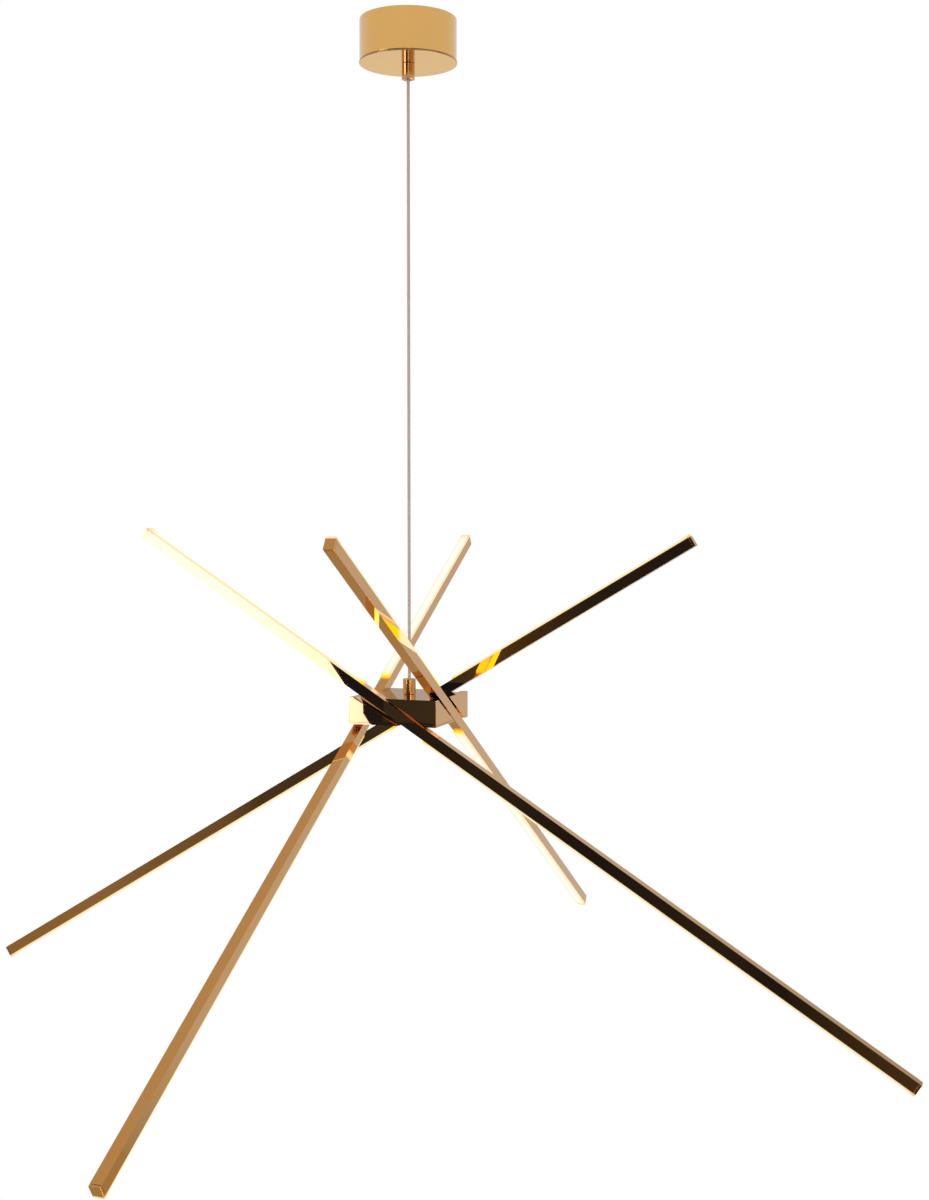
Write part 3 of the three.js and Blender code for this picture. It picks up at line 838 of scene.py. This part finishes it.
def strip_mesh(low, high, side, matrix):
    """Light board with a chip every few centimetres and copper pads between them."""
    bm = bmesh.new()
    back, tip = (low.z, high.z) if side > 0 else (high.z, low.z)
    front = back + side * BOARD_THICKNESS
    box_mesh(bm, (low.x, low.y, min(back, front)), (high.x, high.y, max(back, front)), matrix)
    pad_top = front + side * PAD["height"]
    for i in range(int((high.x - low.x) / CHIP_PITCH)):
        x = low.x + CHIP_PITCH * (i + 0.5)
        box_mesh(bm, (x - CHIP_HALF, -CHIP_HALF, min(front, tip)),
                 (x + CHIP_HALF, CHIP_HALF, max(front, tip)), matrix, 1)
        for y in (-PAD["off_middle"], PAD["off_middle"]):
            box_mesh(bm, (x + PAD["start"], y - PAD["half_width"], min(front, pad_top)),
                     (x + PAD["end"], y + PAD["half_width"], max(front, pad_top)), matrix, 2)
    return bm


def make_arm(arm):
    matrix = arm_frame(arm)
    rounded_node(f"{arm}_profile", f"{arm}_tube", GOLD, 0.6 * MM, 4)
    face = local_box(f"{arm}_profile", matrix)[1].z
    for end, side in (("upper", 1), ("lower", -1)):
        rounded_node(f"{arm}_{end}_cap", f"{arm}_{end}_end_cap", GOLD, 0.35 * MM, 3)
        node = f"{arm}_{end}_diffuser"
        lens = mesh_from(lens_mesh(*local_box(node, matrix), side, face, matrix), "lens")
        material = YELLOW_LENS_MATERIAL if node == "right_arm_upper_diffuser" else LENS_MATERIAL
        piece(f"{arm}_{end}_lens", lens, node, material)
        node = f"{arm}_{end}_led_strip"
        board = mesh_from(strip_mesh(*local_box(node, matrix), side, matrix), "board", smooth=False)
        piece(f"{arm}_{end}_light_board", board, node, BOARD, CHIP, COPPER)


# ---------- CAD nodes that keep their own shape ----------
SLOT_LOOKS = {
    "zinc_steel": STEEL, "white_plastic": WHITE_PLASTIC, "cable_sheath": SHEATH, "gold_brass": TURNED_GOLD,
}


def paint_the_rest():
    for name, thing in frame["nodes"].items():
        if thing.hide_render:
            continue
        for material_slot in thing.material_slots:
            material_slot.material = SLOT_LOOKS.get(SLOT_OF[name], GOLD)


# ---------- studio ----------
# Polished metal looks like what it reflects, so these cards make the bands of light and dark on the bars.
# Only the white floor and backdrop are seen by the camera.
HORIZON_LIGHT = (0.61, 0.58, 0.58)
OVERHEAD_LIGHT = (0.55, 0.465, 0.38)
FLOOR_COLOUR = (0.76, 0.66, 0.48)
FLOOR_Z = cad_box[0].z - 1.2
FLOOR = {"left": -10, "right": 10, "front": -10, "back": 2.15}
FLOOR_LIGHT = {"left": 0.2, "right": 1.9, "front": 0.2, "back": 1.55}
FLOOR_LIGHT_COLOUR = (5.5, 4.0, 1.6)
FLOOR_LIGHT_LIFT = 0.01

# upright cards in front of the object, whose light changes from left to right
SOFTBOX_Y = -2.9
FOLD_Y = -2.95
CLOTH_Y = -3.0
CLOTH = {"left": -1.72, "right": 2.4, "foot": FLOOR_Z, "top": 0.4}
SOFTBOX = {"left": -3.3, "foot": -1.185, "top": 0.4}
SOFTBOX_EDGE = [
    (-1.235, -1.185), (-1.248, -1.16), (-1.266, -1.13), (-1.264, -1.1), (-1.3, -1.08), (-1.36, -1.0),
    (-2.36, 0.4),
]
SOFTBOX_STRENGTH = 6.0
SOFTBOX_LIGHTS = [
    (-3.3, (1.0, 0.97, 0.93)), (-1.65, (0.85, 0.83, 0.80)), (-1.36, (0.42, 0.42, 0.60)),
    (-1.22, (0.28, 0.29, 0.50)),
]
SHADE = {"left": -3.3, "right": -1.2, "foot": -2.25, "top": -1.185}
SHADE_LIGHTS = [
    (-2.6, (0.30, 0.24, 0.18)), (-2.3, (0.31, 0.25, 0.19)), (-2.1, (0.22, 0.18, 0.145)),
    (-1.85, (0.18, 0.145, 0.12)), (-1.7, (0.08, 0.066, 0.063)), (-1.35, (0.05, 0.05, 0.055)),
]
YELLOW_LIGHT = (2.4, 2.8, 0.0)
CREAM_LIGHT = (3.2, 3.6, 10.0)
RIGHT = {"left": 0.9, "right": 1.6, "foot": -1.1, "top": -0.78}
RIGHT_LIGHTS = [
    (0.9, YELLOW_LIGHT), (1.22, YELLOW_LIGHT), (1.26, CREAM_LIGHT), (1.31, CREAM_LIGHT),
    (1.322, YELLOW_LIGHT), (1.6, YELLOW_LIGHT),
]
FOLD = {"left": -1.22, "right": -0.65, "foot": -1.16, "top": -0.8}
FOLD_LIGHTS = [
    (-1.22, (0.036, 0.040, 0.060)), (-1.05, (0.050, 0.045, 0.045)), (-0.95, (0.095, 0.072, 0.037)),
    (-0.8, (0.060, 0.045, 0.030)), (-0.65, (0.030, 0.028, 0.036)),
]
FAR_FOLD = {"left": 0.0, "right": 0.4, "foot": -2.25, "top": -1.85}
FAR_FOLD_LIGHTS = [(0.0, (0.020, 0.020, 0.033)), (0.1, (0.033, 0.030, 0.030)), (0.3, (0.060, 0.048, 0.040))]
FRONT_CARDS = (
    ("shade_card", SHADE, SHADE_LIGHTS, SOFTBOX_Y),
    ("right_card", RIGHT, RIGHT_LIGHTS, SOFTBOX_Y),
    ("fold_card", FOLD, FOLD_LIGHTS, FOLD_Y),
    ("far_fold_card", FAR_FOLD, FAR_FOLD_LIGHTS, FOLD_Y),
)

# upright cards behind and beside the object
BACK_Y = 4.4
BACK = {"left": -3.2, "right": 3.2, "foot": -0.5, "top": 0.9}
BACK_LIGHTS = [(-0.5, (0.47, 0.35, 0.27)), (-0.15, (0.43, 0.38, 0.33)), (0.9, HORIZON_LIGHT)]
WARM_Y = 4.3
WARM = {"left": -3.2, "right": -0.4, "foot": -1.75, "top": -0.95}
WARM_COLOUR = (0.75, 0.68, 0.50)
EDGE = {"left": -FLOOR["back"], "right": FLOOR["back"], "foot": FLOOR_Z, "top": FLOOR_Z + 0.35}
EDGE_LIGHTS = [(EDGE["foot"], (0.42, 0.37, 0.30)), (EDGE["top"], (0.60, 0.57, 0.56))]
FLAG_X = 2.3
FLAG = {"front": 0.2, "back": 2.8, "foot": 0.95, "top": 2.4}
HIGH_RING = {"sides": 12, "reach": 3.1, "foot": 0.55, "top": 1.7}
HIGH_COLOUR = (0.70, 0.69, 0.66)


def stage_card(name, corners, material):
    """A flat card from its corners."""
    mesh = bpy.data.meshes.new(name)
    mesh.from_pydata([tuple(corner) for corner in corners], [], [tuple(range(len(corners)))])
    mesh.materials.append(material)
    card = bpy.data.objects.new(name, mesh)
    bpy.context.scene.collection.objects.link(card)
    return card


def reflected_card(name, corners, material):
    """A stage card that lights the object only through its reflection."""
    card = stage_card(name, corners, material)
    card.visible_camera = False
    card.visible_shadow = False
    card.visible_diffuse = False


def facing_back(card, y):
    """Corners of an upright card whose face looks towards +Y."""
    left, right, foot, top = (card[key] for key in ("left", "right", "foot", "top"))
    return [(right, y, foot), (left, y, foot), (left, y, top), (right, y, top)]


def facing_front(card, y):
    """Corners of an upright card whose face looks towards -Y."""
    left, right, foot, top = (card[key] for key in ("left", "right", "foot", "top"))
    return [(left, y, foot), (right, y, foot), (right, y, top), (left, y, top)]


def lying(card, z):
    left, right, front, back = (card[key] for key in ("left", "right", "front", "back"))
    return [(left, front, z), (right, front, z), (right, back, z), (left, back, z)]


def glowing(name, strength):
    """A material that only gives light; the caller sets its colour."""
    nodes = Nodes(name)
    nodes.set(Base_Color=(0, 0, 0, 1), Specular_IOR_Level=0.0, Roughness=1.0, Emission_Strength=strength)
    return nodes


def glow(name, colour):
    nodes = glowing(name, 1.0)
    nodes.set(Emission_Color=(*colour, 1))
    return nodes.material


def make_world():
    """Pure white behind the object, and an even dimmer light on it that is warmer overhead."""
    world = bpy.data.worlds.new("studio")
    bpy.context.scene.world = world
    world.use_nodes = True
    tree = world.node_tree
    tree.nodes.clear()
    output = tree.nodes.new("ShaderNodeOutputWorld")
    choose = tree.nodes.new("ShaderNodeMixShader")
    path = tree.nodes.new("ShaderNodeLightPath")
    backdrop = tree.nodes.new("ShaderNodeBackground")
    backdrop.inputs["Color"].default_value = (1, 1, 1, 1)
    light = tree.nodes.new("ShaderNodeBackground")
    direction = tree.nodes.new("ShaderNodeTexCoord")
    split = tree.nodes.new("ShaderNodeSeparateXYZ")
    height = tree.nodes.new("ShaderNodeValToRGB")
    low, high = height.color_ramp.elements
    low.position = 0.35
    low.color = (*HORIZON_LIGHT, 1)
    high.position = 0.75
    high.color = (*OVERHEAD_LIGHT, 1)
    tree.links.new(direction.outputs["Generated"], split.inputs["Vector"])
    tree.links.new(split.outputs["Z"], height.inputs["Fac"])
    tree.links.new(height.outputs["Color"], light.inputs["Color"])
    tree.links.new(path.outputs["Is Camera Ray"], choose.inputs["Fac"])
    tree.links.new(light.outputs["Background"], choose.inputs[1])
    tree.links.new(backdrop.outputs["Background"], choose.inputs[2])
    tree.links.new(choose.outputs["Shader"], output.inputs["Surface"])


def pale_floor_material():
    """Pale matt floor that the camera sees as white, like the backdrop."""
    nodes = Nodes("pale_floor")
    darker = [0.95 * c for c in FLOOR_COLOUR]
    nodes.ramp(nodes.noise(scale=3.0), [(0.3, darker), (0.7, FLOOR_COLOUR)], "Base Color")
    nodes.set(Roughness=0.9)
    white = nodes.new("ShaderNodeEmission")
    path = nodes.new("ShaderNodeLightPath")
    mix = nodes.new("ShaderNodeMixShader")
    nodes.link(path.outputs["Is Camera Ray"], mix.inputs["Fac"])
    nodes.link(nodes.shader.outputs["BSDF"], mix.inputs[1])
    nodes.link(white.outputs["Emission"], mix.inputs[2])
    nodes.link(mix.outputs["Shader"], nodes.tree.nodes["Material Output"].inputs["Surface"])
    return nodes.material


def graded_glow(name, stops, axis, strength=1.0):
    """A glowing card whose colour changes along an axis, as (place in metres, colour) stops."""
    nodes = glowing(name, strength)
    split = nodes.new("ShaderNodeSeparateXYZ")
    nodes.link(nodes.new("ShaderNodeTexCoord").outputs["Object"], split.inputs["Vector"])
    first = stops[0][0]
    last = stops[-1][0]
    along = nodes.new("ShaderNodeMapRange")
    along.inputs["From Min"].default_value = first
    along.inputs["From Max"].default_value = last
    nodes.link(split.outputs[axis], along.inputs["Value"])
    shares = [((place - first) / (last - first), colour) for place, colour in stops]
    nodes.ramp(along.outputs["Result"], shares, "Emission Color")
    return nodes.material


def dark_cloth_material():
    """Black cloth with faint soft folds."""
    nodes = glowing("dark_cloth", 1.0)
    folds = nodes.noise(scale=1.3, detail=1.0, stretch=(1.0, 1.0, 0.5))
    nodes.ramp(folds, [(0.35, (0.011, 0.013, 0.030)), (0.65, (0.030, 0.028, 0.036))], "Emission Color")
    return nodes.material


def make_front_cards():
    """Dark cloth in front of the object and, at its left, a softbox whose near edge leans."""
    reflected_card("dark_cloth", facing_back(CLOTH, CLOTH_Y), dark_cloth_material())
    left = SOFTBOX["left"]
    outline = [(left, SOFTBOX["foot"]), *SOFTBOX_EDGE, (left, SOFTBOX["top"])]
    reflected_card("softbox", [(x, SOFTBOX_Y, z) for x, z in outline],
                   graded_glow("softbox", SOFTBOX_LIGHTS, "X", SOFTBOX_STRENGTH))
    for name, card, lights, y in FRONT_CARDS:
        reflected_card(name, facing_back(card, y), graded_glow(name, lights, "X"))


def make_back_cards():
    """Dim walls behind and beside the object, and the floor's far edge."""
    reflected_card("back_card", facing_front(BACK, BACK_Y), graded_glow("back_card", BACK_LIGHTS, "Z"))
    reflected_card("warm_card", facing_front(WARM, WARM_Y), glow("warm_card", WARM_COLOUR))
    reflected_card("floor_edge", facing_front(EDGE, FLOOR["back"]),
                   graded_glow("floor_edge", EDGE_LIGHTS, "Z"))
    front, back, foot, top = (FLAG[key] for key in ("front", "back", "foot", "top"))
    corners = [(FLAG_X, front, foot), (FLAG_X, back, foot), (FLAG_X, back, top), (FLAG_X, front, top)]
    reflected_card("dark_flag", corners, dark_cloth_material())


def make_high_ring():
    """Cards all round, above the object, which keep the canopy's wall bright."""
    bright = glow("high_card", HIGH_COLOUR)
    reach, foot, top = (HIGH_RING[key] for key in ("reach", "foot", "top"))
    turns = [2 * math.pi * i / HIGH_RING["sides"] for i in range(HIGH_RING["sides"])]
    ring = [(reach * math.cos(turn), reach * math.sin(turn)) for turn in turns]
    for i, start in enumerate(ring):
        end = ring[(i + 1) % len(ring)]
        corners = [(*start, foot), (*end, foot), (*end, top), (*start, top)]
        reflected_card(f"high_card_{i}", corners, bright)


def make_studio():
    make_world()
    stage_card("floor", lying(FLOOR, FLOOR_Z), pale_floor_material())
    reflected_card("floor_light", lying(FLOOR_LIGHT, FLOOR_Z + FLOOR_LIGHT_LIFT),
                   glow("floor_light", FLOOR_LIGHT_COLOUR))
    make_front_cards()
    make_back_cards()
    make_high_ring()


# ---------- the whole picture ----------
make_camera()
make_cable()
make_drum()
make_base_disc()
make_canopy_screws()
make_fittings()
make_driver()
make_terminal_block()
rounded_node("ceiling_bracket", "bracket_strip", STEEL, 0.3 * MM)
rounded_node("wire_connector", "connector_case", GREY_PLASTIC, 0.6 * MM, 3)
make_hub()
for arm_name in ARMS:
    make_arm(arm_name)
paint_the_rest()
make_studio()
bpy.context.scene.view_settings.view_transform = "Standard"
